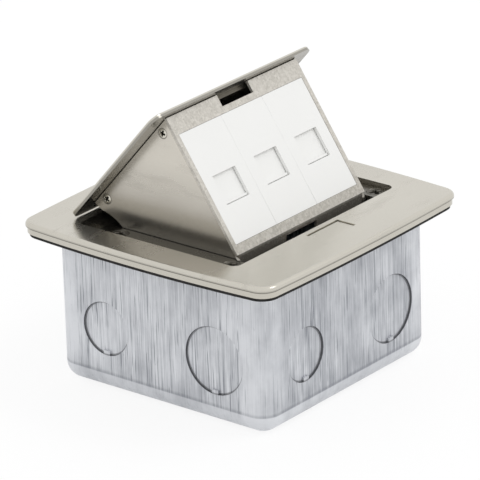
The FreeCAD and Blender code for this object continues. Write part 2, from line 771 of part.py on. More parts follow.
def face_frame():
    """The folded sheet frame round the modules, with the latch notch in its top strip."""
    frame = new_body("face_frame")
    half = "face_width / 2"
    front = sketch(frame, "XZ_Plane", "-sheet_thickness")
    outline(front, [
        (f"-{half}", "0"), (f"-{half}", "-face_drop"), (half, "-face_drop"), (half, "0"),
        ("notch_width / 2", "0"), ("notch_width / 2", "-notch_depth"),
        ("-notch_width / 2", "-notch_depth"), ("-notch_width / 2", "0")])
    rectangle(front, "-face_window_width / 2", "-face_window_drop", "face_window_width / 2", "-face_strip")
    pad(frame, front, "sheet_thickness")
    # the foot folds in under the modules
    fold = sketch(frame, "YZ_Plane", f"-{cheek_inner}")
    lean_y = "sin(fold_angle)"
    lean_z = "cos(fold_angle)"
    root = "-face_drop + overlap / 20"
    outline(fold, [
        ("0", root), ("0", "-face_drop"),
        (f"face_fold * {lean_y}", f"-face_drop - face_fold * {lean_z}"),
        (f"face_fold * {lean_y} + sheet_thickness * {lean_z}",
         f"-face_drop - face_fold * {lean_z} + sheet_thickness * {lean_y}"),
        ("sheet_thickness", root)])
    pad(frame, fold, f"2 * {cheek_inner}")
    slot = sketch(frame, "XZ_Plane", "-face_fold")
    rectangle(slot, "-notch_width / 2", "-face_drop - face_fold", "notch_width / 2",
              "-face_drop - face_fold / 4")
    pocket(frame, slot, "face_fold + sheet_thickness", True)
    for left in (f"-{cheek_inner}", f"({cheek_inner} - sheet_thickness)"):
        flange = sketch(frame, "XZ_Plane", "-face_flange")
        rectangle(flange, left, "-face_drop + sheet_thickness", f"{left} + sheet_thickness",
                  "-bracket_depth - flange_drop")
        pad(frame, flange, "face_flange - sheet_thickness")
    on_face(frame)


def data_module(number, offset):
    """A white data module: bezel plate, hollow body, shutter guides and the jack's cradle."""
    module = new_body(f"data_module_{number}")
    half = "(module_pitch / 2 - module_seam / 2)"
    body_half = "(module_body_width / 2)"
    top = "(-face_strip - module_sink)"
    foot = "(-face_window_drop + module_sink)"
    plate = sketch(module, "XZ_Plane", "-sheet_thickness")
    rectangle(plate, f"-{half}", foot, half, top)
    pad(module, plate, "sheet_thickness - module_sink")
    body = sketch(module, "XZ_Plane", f"-{module_back}")
    rectangle(body, f"-{body_half}", f"{foot} + module_margin", body_half, f"{top} - module_margin")
    pad(module, body, f"{module_back} - sheet_thickness")
    hollow = sketch(module, "XZ_Plane", "-module_sink - module_plate")
    inner = f"({body_half} - module_wall)"
    rectangle(hollow, f"-{inner}", f"{foot} + module_margin + module_wall", inner,
              f"{top} - module_margin - module_wall")
    pocket(module, hollow, "module_depth")
    window = sketch(module, "XZ_Plane", "0")
    rectangle(window, "-window_width / 2", "-window_top - window_height", "window_width / 2", "-window_top")
    pocket(module, window, "module_sink + module_plate + overlap")
    guide = "(shutter_width / 2 + moving_gap)"
    merge = "overlap / 2"
    rails = sketch(module, "XZ_Plane", f"-{module_back}")
    for left, right in ((f"-{inner} - {merge}", f"-{guide}"), (guide, f"{inner} + {merge}")):
        rectangle(rails, left, f"{foot} + module_margin + module_wall - {merge}", right,
                  f"{top} - module_margin - module_wall + {merge}")
    pad(module, rails, f"{module_back} - module_sink - module_plate + {merge}")
    lips = sketch(module, "XZ_Plane", f"-{module_back}")
    lip_foot = "-window_top - window_height / 2 + jack_height / 2 + overlap"
    for left, right in ((f"-{guide} - {merge}", f"-{guide} + shutter_lip"),
                        (f"{guide} - shutter_lip", f"{guide} + {merge}")):
        rectangle(lips, left, lip_foot, right, f"{top} - module_margin - module_wall + {merge}")
    pad(module, lips, f"{module_back} - module_sink - module_plate - shutter_thickness - 2 * moving_gap")
    on_face(module, offset)


def shutter(number, offset):
    """A sprung shutter that slides up behind its window, with a finger ledge."""
    leaf = new_body(f"shutter_{number}")
    front = "(module_sink + module_plate + moving_gap)"
    plate = sketch(leaf, "XZ_Plane", f"-{front} - shutter_thickness")
    low = "(-window_top - window_height - shutter_overlap)"
    rectangle(plate, "-shutter_width / 2", low, "shutter_width / 2", "-window_top + shutter_overlap")
    pad(leaf, plate, "shutter_thickness")
    ledge = sketch(leaf, "XZ_Plane", f"-{front} - overlap")
    edge = "(-window_top - window_height + moving_gap)"
    rectangle(ledge, "-window_width / 2 + moving_gap", edge, "window_width / 2 - moving_gap",
              f"{edge} + shutter_ledge")
    pad(leaf, ledge, "module_plate - moving_gap")
    on_face(leaf, offset)


jack_front = "(module_sink + module_plate + shutter_thickness + 3 * moving_gap)"
jack_middle = "(-window_top - window_height / 2)"


def jack(number, offset):
    """The eight-way socket behind a shutter: a block with the port and its latch groove."""
    block = new_body(f"jack_{number}")
    body = sketch(block, "XZ_Plane", f"-{jack_front} - jack_depth")
    half = "(shutter_width / 2 + moving_gap)"
    rectangle(body, f"-{half}", f"{jack_middle} - jack_height / 2", half, f"{jack_middle} + jack_height / 2")
    pad(block, body, "jack_depth")
    port = sketch(block, "XZ_Plane", f"-{jack_front}")
    low = f"({jack_middle} - port_height / 2 + port_raise)"
    step = f"{low} - port_step"
    groove = f"{low} - 2 * port_step"
    outline(port, [
        ("-port_width / 2", low), ("-port_step_width / 2", low), ("-port_step_width / 2", step),
        ("-port_groove_width / 2", step), ("-port_groove_width / 2", groove),
        ("port_groove_width / 2", groove), ("port_groove_width / 2", step),
        ("port_step_width / 2", step), ("port_step_width / 2", low), ("port_width / 2", low),
        ("port_width / 2", f"{low} + port_height"), ("-port_width / 2", f"{low} + port_height")])
    pocket(block, port, "port_depth")
    rear = sketch(block, "XZ_Plane", f"-{jack_front} - jack_depth")
    for side in (-1, 1):
        for row in range(4):
            x = f"({side} * slot_side - slot_width / 2)"
            y = f"({jack_middle} - slot_start + {row} * slot_pitch)"
            rectangle(rear, x, y, f"{x} + slot_width", f"{y} + slot_height")
    pocket(block, rear, "slot_depth", True)
    on_face(block, offset)


def contacts(number, offset):
    """Eight sprung wires that slope through the port."""
    wires = []
    for index in range(8):
        wire = solid("Box", Length="contact_width", Width="contact_length", Height="contact_thickness")
        turn(wire, Vector(1, 0, 0), -value("contact_slope"))
        shift(wire, f"{index - 3.5} * contact_pitch - contact_width / 2", f"{jack_front} + contact_start",
              f"{jack_middle} + port_height / 2 + overlap")
        wires.append(wire)
    on_face(keep(group(wires), f"contacts_{number}"), offset)


# ---- hinge and damper ----

def hinge_pins():
    pins = []
    for side in (-1, 1):
        outer = f"({ear_inner} + ear_thickness)"
        shaft = solid("Cylinder", Radius="pin_radius", Height=f"{outer} - {cheek_inner} + pin_reach")
        turn(shaft, Vector(0, 1, 0), -90 * side)
        shift(shaft, f"{side} * {outer}", "pivot_back", pivot_height)
        head = solid("Cylinder", Radius="pin_head_radius", Height="pin_head_thickness")
        turn(head, Vector(0, 1, 0), 90 * side)
        shift(head, f"{side} * {outer}", "pivot_back", pivot_height)
        pins.append(fuse(shaft, head))
    keep(group(pins), "hinge_pins")


def hinge_bushes():
    bushes = []
    for side in (-1, 1):
        length = "(cheek_thickness + bush_flange_thickness)"
        sleeve = solid("Cylinder", Radius=bush_outer, Height=length)
        flange = solid("Cylinder", Radius=f"{bush_outer} + bush_flange", Height="bush_flange_thickness")
        bore = solid("Cylinder", Radius="pin_radius + running_gap", Height=length)
        for item in (sleeve, flange, bore):
            turn(item, Vector(0, 1, 0), -90 * side)
            shift(item, f"{side} * (cheek_spread / 2 + bush_flange_thickness)")
        bushes.append(cut(fuse(sleeve, flange), bore))
    raise_open(keep(group(bushes), "hinge_bushes"))


def tooth_ring(radius, first, count):
    """Points of straight-sided teeth, anticlockwise; first is the first tooth's angle in degrees."""
    pitch = 180 * value("gear_module") / value(radius)
    tip = f"({radius} + gear_module * tooth_rise)"
    root = f"({radius} - gear_module * tooth_drop)"
    points = []
    for index in range(count):
        for reach, side, share in ((root, -1, "tooth_foot"), (tip, -1, "tooth_crest"),
                                   (tip, 1, "tooth_crest"), (root, 1, "tooth_foot")):
            angle = f"({first + pitch * index} + {side * pitch} * {share})"
            points.append((f"{reach} * cos({angle})", f"{reach} * sin({angle})"))
    return points


def damper_sector():
    """The toothed sector on the left cheek. Its teeth run about the hinge axis."""
    sector = new_body("damper_sector")
    face = sketch(sector, "YZ_Plane", f"-{cheek_inner}")
    start = value("open_angle + sector_start")
    hub = f"({bush_outer} + sector_hub)"
    teeth = tooth_ring("sector_radius", start, 5)
    back = [(f"{hub} * cos({start + step})", f"{hub} * sin({start + step})") for step in (84, 174, 261, 348)]
    outline(face, teeth + back)
    circle(face, "0", "0", bush_outer)
    pad(sector, face, "gear_thickness")
    raise_open(sector)


damper_height = f"({pivot_height} - sector_radius - pinion_radius)"
gear_face = f"(damper_gap - {cheek_inner})"


def damper_pinion():
    """The damper's pinion, one tooth pointing up between two of the sector's."""
    pinion = new_body("damper_pinion")
    face = sketch(pinion, "YZ_Plane", gear_face)
    outline(face, tooth_ring("pinion_radius", 90, 10))
    circle(face, "0", "0", "damper_shaft + running_gap")
    pad(pinion, face, "gear_thickness - damper_gap")
    put(pinion, y="pivot_back", z=damper_height)


def damper_body():
    barrel = solid("Cylinder", Radius="damper_radius", Height="damper_length")
    shaft = solid("Cylinder", Radius="damper_shaft", Height="damper_length")
    for item, start in ((barrel, f"{gear_face} + gear_thickness"), (shaft, gear_face)):
        turn(item, Vector(0, 1, 0), 90)
        shift(item, start, "pivot_back", damper_height)
    keep(fuse(barrel, shaft), "damper_body")


def damper_bracket():
    """The bracket that hangs the damper from the cover base."""
    bracket = new_body("damper_bracket")
    face = f"({gear_face} + gear_thickness + damper_length)"
    left = "pivot_back - bracket_half_width"
    right = "pivot_back + bracket_half_width"
    hanger = sketch(bracket, "YZ_Plane", face)
    outline(hanger, [
        (left, base_bottom), ("pivot_back - damper_radius", damper_height, "damper_radius", 1),
        ("pivot_back", f"{damper_height} - damper_radius", "damper_radius", 1),
        ("pivot_back + damper_radius", damper_height), (right, base_bottom)])
    pad(bracket, hanger, "bracket_thickness")
    foot = sketch(bracket, "YZ_Plane", face)
    rectangle(foot, left, f"{base_bottom} - bracket_thickness", right, base_bottom)
    pad(bracket, foot, "bracket_foot")


def torsion_springs():
    """Wound springs round the pins that throw the pop-up open, as straight runs of wire."""
    springs = []
    wire = value("spring_wire")
    mean = value("pin_radius + spring_wire / 2 + spring_ease")
    pitch = value("spring_wire + spring_pitch_gap")
    start = value(f"{cheek_inner} - gear_thickness - lug_drop")
    turns = 4
    steps = 8
    for side in (-1, 1):
        points = []
        for step in range(turns * steps + 1):
            angle = 2 * math.pi * step / steps
            points.append(Vector(side * (start - pitch * step / steps),
                                 value("pivot_back") + mean * math.cos(angle),
                                 value(pivot_height) + mean * math.sin(angle)))
        corners = []
        for corner in range(7):
            angle = math.pi * corner / 3
            corners.append(points[0] + Vector(math.cos(angle), math.sin(angle), 0) * (wire / 2))
        sweep = Part.BRepOffsetAPI.MakePipeShell(Part.makePolygon(points))
        sweep.setTransitionMode(1)
        sweep.add(Part.makePolygon(corners))
        sweep.build()
        sweep.makeSolid()
        springs.append(sweep.shape())
    item = doc.addObject("Part::Feature", "torsion_springs")
    item.Shape = Part.makeCompound(springs)
    keep(item, "torsion_springs")


back_box()
knockouts("knockouts_small", "-knockout_offset", "knockout_small_radius")
knockouts("knockouts_large", "knockout_offset", "knockout_large_radius")
box_lugs()
earth_terminal()
gasket()
cover_base()
cover_plate()
cover_screws()
latch_button()
latch_bolt()
latch_guide()
lid_plate()
lid_bracket()
cheek("cheek_left", -1)
cheek("cheek_right", 1)
cheek_screws()
face_frame()
for number, offset in ((1, "-module_pitch"), (2, "0"), (3, "module_pitch")):
    data_module(number, offset)
    shutter(number, offset)
    jack(number, offset)
    contacts(number, offset)
hinge_pins()
hinge_bushes()
damper_sector()
damper_pinion()
damper_body()
damper_bracket()
torsion_springs()
doc.recompute()

for item in doc.Objects:
    if "Invalid" in item.State or "Error" in item.State:
        raise RuntimeError(f"{item.Label} did not compute")
for item in kept:
    if item.Shape.isNull() or not item.Shape.isValid():
        raise RuntimeError(f"{item.Label} has no valid shape")
for item in kept:
    item.Shape.exportStep(f"parts/{item.Label}.step")
    print(item.Label, len(item.Shape.Solids), round(item.Shape.Volume, 1))
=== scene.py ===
import json
import math

import bmesh
import bpy
import numpy as np
from mathutils import Matrix, Vector


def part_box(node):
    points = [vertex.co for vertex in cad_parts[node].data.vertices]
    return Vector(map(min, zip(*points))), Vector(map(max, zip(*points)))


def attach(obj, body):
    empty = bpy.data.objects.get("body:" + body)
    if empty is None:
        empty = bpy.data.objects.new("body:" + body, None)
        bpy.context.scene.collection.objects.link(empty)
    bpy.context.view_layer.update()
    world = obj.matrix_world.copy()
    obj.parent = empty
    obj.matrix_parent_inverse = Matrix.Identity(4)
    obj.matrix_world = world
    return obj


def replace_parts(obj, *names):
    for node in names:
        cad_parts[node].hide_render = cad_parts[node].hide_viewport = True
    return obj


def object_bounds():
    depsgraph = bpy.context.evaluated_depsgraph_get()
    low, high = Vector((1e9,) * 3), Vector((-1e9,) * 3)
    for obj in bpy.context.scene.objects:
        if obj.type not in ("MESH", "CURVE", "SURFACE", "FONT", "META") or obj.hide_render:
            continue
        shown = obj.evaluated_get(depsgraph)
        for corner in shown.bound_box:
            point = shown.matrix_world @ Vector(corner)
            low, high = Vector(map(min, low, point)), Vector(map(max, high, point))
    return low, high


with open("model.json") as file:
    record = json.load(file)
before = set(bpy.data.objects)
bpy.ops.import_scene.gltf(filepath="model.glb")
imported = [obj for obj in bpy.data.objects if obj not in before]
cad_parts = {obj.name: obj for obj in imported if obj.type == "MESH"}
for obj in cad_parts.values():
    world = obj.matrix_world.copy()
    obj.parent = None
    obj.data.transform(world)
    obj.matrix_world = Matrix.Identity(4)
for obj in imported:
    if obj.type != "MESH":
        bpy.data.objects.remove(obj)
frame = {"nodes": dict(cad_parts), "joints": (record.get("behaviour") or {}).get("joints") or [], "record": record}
cadBounds = [list(corner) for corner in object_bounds()]
nodes = frame["nodes"]
mm = 0.001
print("frame loaded:", len(nodes), "nodes")


view = {
    "azimuth": -50.711,    # degrees, from straight ahead towards the left
    "elevation": 22.254,
    "roll": -1.809,
    "distance": 1755.65,   # mm, from the middle of the cover's top
    "across": -0.18,       # mm that the camera is moved sideways and upwards
    "upward": -13.2,
    "lens": 344.4,
    "sensor": 36,
    "farEnd": 60,          # metres
}


def makeCamera():
    turn = math.radians(view["azimuth"])
    rise = math.radians(view["elevation"])
    roll = math.radians(view["roll"])
    back = Vector((math.sin(turn) * math.cos(rise), -math.cos(turn) * math.cos(rise), math.sin(rise)))
    level = Vector((math.cos(turn), math.sin(turn), 0))
    upright = back.cross(level)
    right = level * math.cos(roll) + upright * math.sin(roll)
    up = upright * math.cos(roll) - level * math.sin(roll)
    target = Vector((0, 0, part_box("cover_plate")[1].z))
    place = target + (right * view["across"] + up * view["upward"] + back * view["distance"]) * mm
    data = bpy.data.cameras.new("camera")
    data.lens = view["lens"]
    data.sensor_width = view["sensor"]
    data.clip_end = view["farEnd"]
    item = bpy.data.objects.new("camera", data)
    bpy.context.scene.collection.objects.link(item)
    item.matrix_world = Matrix.Translation(place) @ Matrix((right, up, back)).transposed().to_4x4()
    bpy.context.scene.camera = item


makeCamera()
print("camera made")


class Wire:
    # a socket that can stand in sums; each operator adds one Math node

    def __init__(self, finish, socket):
        self.finish = finish
        self.socket = socket

    def math(self, operation, *values):
        return self.finish.add("ShaderNodeMath", {"operation": operation}, dict(enumerate(values)))

    def __add__(self, other):
        return self.math("ADD", self, other)

    def __radd__(self, other):
        return self.math("ADD", other, self)

    def __sub__(self, other):
        return self.math("SUBTRACT", self, other)

    def __rsub__(self, other):
        return self.math("SUBTRACT", other, self)

    def __mul__(self, other):
        return self.math("MULTIPLY", self, other)

    def __rmul__(self, other):
        return self.math("MULTIPLY", other, self)

    def __pow__(self, other):
        return self.math("POWER", self, other)

    def __abs__(self):
        return self.math("ABSOLUTE", self)


def shade(red, green, blue):
    # a colour given as it looks, 0 to 255, turned into the linear values that a socket takes
    parts = [part / 255 for part in (red, green, blue)]
    linear = [part / 12.92 if part < 0.04045 else ((part + 0.055) / 1.055) ** 2.4 for part in parts]
    return (*linear, 1)


class Finish:
    # one material, or the world, while its nodes are made; sizes are in mm

    def __init__(self, holder):
        self.holder = holder
        holder.use_nodes = True
        self.tree = holder.node_tree
        self.tree.nodes.clear()

    def add(self, kind, settings=None, inputs=None, output=0):
        node = self.tree.nodes.new(kind)
        for name, value in (settings or {}).items():
            setattr(node, name, value)
        for name, value in (inputs or {}).items():
            if isinstance(value, Wire):
                self.tree.links.new(value.socket, node.inputs[name])
            else:
                node.inputs[name].default_value = value
        return None if output is None else Wire(self, node.outputs[output])

    def place(self):
        # the piece's own coordinates, in metres
        return self.add("ShaderNodeTexCoord", output="Object")

    def along(self, axis):
        return self.add("ShaderNodeSeparateXYZ", {}, {"Vector": self.place()}, axis)

    def toward(self, direction):
        # how far a point lies along a direction
        inputs = {0: self.place(), 1: tuple(direction)}
        return self.add("ShaderNodeVectorMath", {"operation": "DOT_PRODUCT"}, inputs, "Value")

    def spread(self, size, stretch=(1, 1, 1), turned=(0, 0, 0)):
        # the place in units of size, longer along the axes whose stretch is over 1, and turned by degrees
        scale = [1 / (size * mm * part) for part in stretch]
        rotation = [math.radians(angle) for angle in turned]
        inputs = {"Vector": self.place(), "Scale": scale, "Rotation": rotation}
        return self.add("ShaderNodeMapping", {}, inputs)

    def cloud(self, size, stretch=(1, 1, 1), detail=3, rough=0.5, turned=(0, 0, 0)):
        place = self.spread(size, stretch, turned)
        inputs = {"Vector": place, "Scale": 1, "Detail": detail, "Roughness": rough}
        return self.add("ShaderNodeTexNoise", {}, inputs)

    def cells(self, size, stretch=(1, 1, 1)):
        inputs = {"Vector": self.spread(size, stretch), "Scale": 1}
        return self.add("ShaderNodeTexVoronoi", {}, inputs, "Color")

    def step(self, value, low, high, start=0, end=1, kind="SMOOTHSTEP"):
        inputs = {"Value": value, "From Min": low, "From Max": high, "To Min": start, "To Max": end}
        return self.add("ShaderNodeMapRange", {"interpolation_type": kind}, inputs)

    def fall(self, value, low, high):
        return self.step(value, low, high, 1, 0)

    def mix(self, share, first, second):
        return self.add("ShaderNodeMix", {"data_type": "RGBA"}, {0: share, 6: first, 7: second}, 2)

    def tint(self, colour, amount):
        settings = {"data_type": "RGBA", "blend_type": "MULTIPLY"}
        return self.add("ShaderNodeMix", settings, {0: 1, 6: colour, 7: amount}, 2)

    def relief(self, height, depth, strength=0.5):
        inputs = {"Height": height, "Distance": depth * mm, "Strength": strength}
        return self.add("ShaderNodeBump", {}, inputs, "Normal")

    def close(self, colour, roughness, metallic, relief):
        inputs = {"Base Color": colour, "Roughness": roughness, "Metallic": metallic, "Normal": relief}
        body = self.add("ShaderNodeBsdfPrincipled", {}, inputs)
        self.add("ShaderNodeOutputMaterial", {}, {"Surface": body}, None)
        return self.holder


def newFinish(name):
    return Finish(bpy.data.materials.new(name))


openAngle = 48.7     # degrees that the lid stands open
lean = math.radians(openAngle)
lidOut = Vector((0, math.sin(lean), math.cos(lean)))
slope = Vector(next(joint["axis"] for joint in frame["joints"] if joint["name"] == "shutter_middle_slide"))
sideways = Vector((1, 0, 0))
face = np.array((sideways, slope, sideways.cross(slope)))     # rows: across, up the slope, out of the face


def spanAlong(node, directions):
    # a node's lowest and highest places along one direction, or along each row of several
    mesh = nodes[node].data
    points = np.empty(len(mesh.vertices) * 3, np.float32)
    mesh.vertices.foreach_get("co", points)
    placed = points.reshape(-1, 3) @ np.array(directions).T
    return placed.min(0), placed.max(0)


# painted shade along the foot of the cover skin's upright edge
coverEdgeShade = {
    "dark": 0.3,
    "start": 0.2,     # mm above the skin's underside
    "end": 0.7,
}


def shadedCoverEdge(finish):
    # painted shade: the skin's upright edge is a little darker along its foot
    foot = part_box("cover_plate")[0].z
    edge = finish.fall(finish.along("Z"), foot + coverEdgeShade["start"] * mm, foot + coverEdgeShade["end"] * mm)
    return 1 - coverEdgeShade["dark"] * edge


# painted shade on the lid's edges and underside
lidUnderShade = {
    "dark": 0.45,
    "start": 0.9,     # mm below the lid's top
    "end": 0.5,
}


def shadedLidUnderside(finish):
    # painted shade: the lid is darker below its top, on its edges and underside
    top = spanAlong("lid_plate", lidOut)[1]
    below = finish.fall(finish.toward(lidOut), top - lidUnderShade["start"] * mm, top - lidUnderShade["end"] * mm)
    return 1 - lidUnderShade["dark"] * below


# painted light on the cheeks: a colour a little lighter than the satin steel, and painted shade towards the ledge
# and round the screw heads
cheek = {
    "colour": shade(208, 203, 193),
    "roughness": 0.24,
    "smudge": 0.05,
    "ledgeDrop": 4,       # mm from the cover's top down to where the painted shade is darkest
    "shadeReach": 34,      # mm over which the painted shade fades and a cheek gets its full brightness
    "darkestShade": 0.5,
    "bend": 0.8,
    "screwHead": 1.9,     # mm
    "gapStart": 0.25,     # mm outside the screw's head, over which the painted shade of its gap fades
    "gapEnd": 0.45,
    "gapShade": 0.55,
}


def screwGapShade(finish):
    # 1 on the painted shade in the narrow gap round each countersunk screw head in a cheek
    low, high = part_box("cheek_screws")
    head = cheek["screwHead"] * mm
    gaps = 0
    for y, z in ((low.y + head, high.z - head), (high.y - head, low.z + head)):
        across = finish.along("Y") - y
        upward = finish.along("Z") - z
        away = (across * across + upward * upward) ** 0.5
        gaps = gaps + finish.fall(away, head + cheek["gapStart"] * mm, head + cheek["gapEnd"] * mm)
    return gaps


def shadedCheek(finish):
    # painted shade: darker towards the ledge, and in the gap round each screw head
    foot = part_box("cover_plate")[1].z - cheek["ledgeDrop"] * mm
    rise = finish.step(finish.along("Z"), foot, foot + cheek["shadeReach"] * mm, kind="LINEAR")
    tone = cheek["darkestShade"] + (1 - cheek["darkestShade"]) * rise ** cheek["bend"]
    return tone * (1 - cheek["gapShade"] * screwGapShade(finish))


satin = {
    "colour": shade(203, 199, 189),
    # painted shade: a darker copy of the satin steel's colour, for the bracket under the lid
    "bracketShadedColour": shade(132, 128, 118),
    "roughness": 0.25,
    "bracketRoughness": 0.3,
    "metallic": 0.9,
    "cloudSize": 26,      # mm
    "cloudWeight": 0.14,
    "smudgeSize": 7,
    "smudge": 0.1,
    "grainSize": 0.18,
    "grainWeight": 0.05,
    "depth": 0.012,
}


def satinSteel(name, paintedShade=shadedCoverEdge, upright=False, **own):
    # bead-blasted and lightly brushed steel with faint wiping marks; its tone is multiplied by the painted shade
    # that the second argument gives
    look = {**satin, **own}
    finish = newFinish(name)
    broad = finish.cloud(look["cloudSize"], (2, 1, 1), 2, turned=(0, 0, 30))
    stretch, turned = ((1, 5, 1), (-48, 0, 0)) if upright else ((4, 1, 1), (0, 0, 35))
    wiped = finish.cloud(look["smudgeSize"], stretch, 4, 0.6, turned)
    marks = finish.step(wiped, 0.56, 0.78)
    grain = finish.cloud(look["grainSize"], (9, 1, 1), 2)
    tone = 1 - look["smudge"] * marks - look["cloudWeight"] * (broad - 0.5)
    tone = tone + look["grainWeight"] * (grain - 0.5)
    gloss = look["roughness"] + 0.1 * (broad - 0.5) + 0.12 * marks + 0.05 * (grain - 0.5)
    relief = finish.relief(grain + 0.6 * broad, look["depth"])
    return finish.close(finish.tint(look["colour"], tone * paintedShade(finish)), gloss, look["metallic"], relief)


ledge = {
    # the ledge's colour and the joint line's colour are painted shade
    "colour": shade(104, 101, 93),
    "rim": shade(200, 196, 186),
    "joint": shade(96, 93, 86),
    "roughness": 0.26,
    "sideGap": 1.2,      # mm to the opening's edge, from the lid's sides, the screws and the hinge pins
    "frontGap": 2.5,
    "backGap": 6,
    "overhangShadeStart": 0.7,   # mm below the skin, where the painted shade under its overhang begins and is full
    "overhangShadeFull": 0.35,
}


def shadedLedgeBase(name):
    # the cover's lower plate: light where its rim shows, with painted shade on the ledge inside the opening and in
    # a line under the skin's overhang
    finish = newFinish(name)
    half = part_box("lid_plate")[1].x + ledge["sideGap"] * mm
    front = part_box("cover_screws")[0].y - ledge["frontGap"] * mm
    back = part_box("hinge_pins")[1].y + ledge["backGap"] * mm
    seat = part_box("cover_plate")[0].z
    # painted shade on the ledge inside the opening
    inside = finish.fall(abs(finish.along("X")), half, half + mm)
    inside = inside * finish.step(finish.along("Y"), front - mm, front)
    inside = inside * finish.fall(finish.along("Y"), back, back + mm)
    # painted shade in a line just under the skin's overhang
    joint = finish.step(finish.along("Z"), seat - ledge["overhangShadeStart"] * mm, seat - ledge["overhangShadeFull"] * mm)
    rim = finish.mix(joint * (1 - inside), ledge["rim"], ledge["joint"])
    broad = finish.cloud(14)
    grain = finish.cloud(0.2, (1, 9, 1), 2)
    tone = 1 - 0.08 * (broad - 0.5) - 0.06 * (grain - 0.5)
    gloss = ledge["roughness"] + 0.1 * (broad - 0.5) + 0.06 * (grain - 0.5)
    colour = finish.tint(finish.mix(inside, rim, ledge["colour"]), tone)
    return finish.close(colour, gloss, satin["metallic"], finish.relief(grain, satin["depth"]))


drawnSteel = {
    "light": shade(226, 228, 232),
    "dark": shade(148, 151, 158),
    # the colour of the holes' sheared rims: raw steel, and painted shade
    "shearedAndShade": shade(84, 85, 88),
    "metallic": 0.35,
    "roughness": 0.46,
    "worn": 0.28,          # how far the plain surface is towards dark
    "fineSize": 0.5,       # mm across; the stretch is upwards
    "fineStretch": 60,
    "fineWeight": 1.5,
    "middleSize": 1.3,
    "middleStretch": 26,
    "lineSize": 0.75,
    "lineStretch": 34,
    "lineWeight": 0.8,
    "patchSize": 11,
    "patchWeight": 1.1,
    "pitSize": 1.6,
    "pitWeight": 0.5,
    "calmSize": 15,
    "calm": 0.35,          # share of the streaks that a calm patch takes away
    "cornerCalm": 0.65,
    "cornerLight": 0.3,
    "cornerStart": 14,     # mm in from the next wall
    "cornerEnd": 8,
    "crease": 7.6,         # mm, height of the line where the drawn wall turns under
    # painted shade along the crease
    "creaseShade": 0.35,
    "belowCrease": 0.12,   # share of the streaks that goes on below it
    "lowReach": 11,        # mm of darker wall above it
    "lowWeight": 0.2,
    "frontShade": 0.22,     # painted shade: how much darker and greyer the front wall is
    "shearTop": 0.12,      # mm below the wall's outside, where a hole's sheared rim starts and ends
    "shearFoot": 1.1,
    "discOffset": 26.5,    # mm, the discs' places from the walls' middles and from the floor
    "discHeight": 26.2,
    "smallDisc": 11,
    "largeDisc": 13.8,
    # mm, width of the painted shade along a disc's border
    "discShadeWidth": 0.6,
}


def wallPlace(finish):
    # how far out a point is towards the nearer wall, and how far along that wall from its middle
    across, along = abs(finish.along("X")), abs(finish.along("Y"))
    return across.math("MAXIMUM", across, along), across.math("MINIMUM", across, along)


def shearedRimAndShade(finish):
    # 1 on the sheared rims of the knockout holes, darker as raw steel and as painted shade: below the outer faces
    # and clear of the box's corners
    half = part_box("back_box")[1].x
    top = half - drawnSteel["shearTop"] * mm
    foot = half - drawnSteel["shearFoot"] * mm
    out, aside = wallPlace(finish)
    flat = finish.fall(aside, half - 9 * mm, half - 8.5 * mm)
    flat = flat * finish.step(finish.along("Z"), 9 * mm, 9.5 * mm)
    return finish.fall(out, top - 0.13 * mm, top) * flat * finish.step(out, foot - 0.06 * mm, foot)


def discRimShade(finish, radius):
    # 1 on the painted shade along the narrow border of a knockout disc
    offset = wallPlace(finish)[1] - drawnSteel["discOffset"] * mm
    height = finish.along("Z") - drawnSteel["discHeight"] * mm
    away = (offset * offset + height * height) ** 0.5
    border = (radius - drawnSteel["discShadeWidth"]) * mm
    inner = finish.step(away, border - 0.15 * mm, border)
    return inner * finish.fall(away, (radius + 0.2) * mm, (radius + 0.4) * mm)


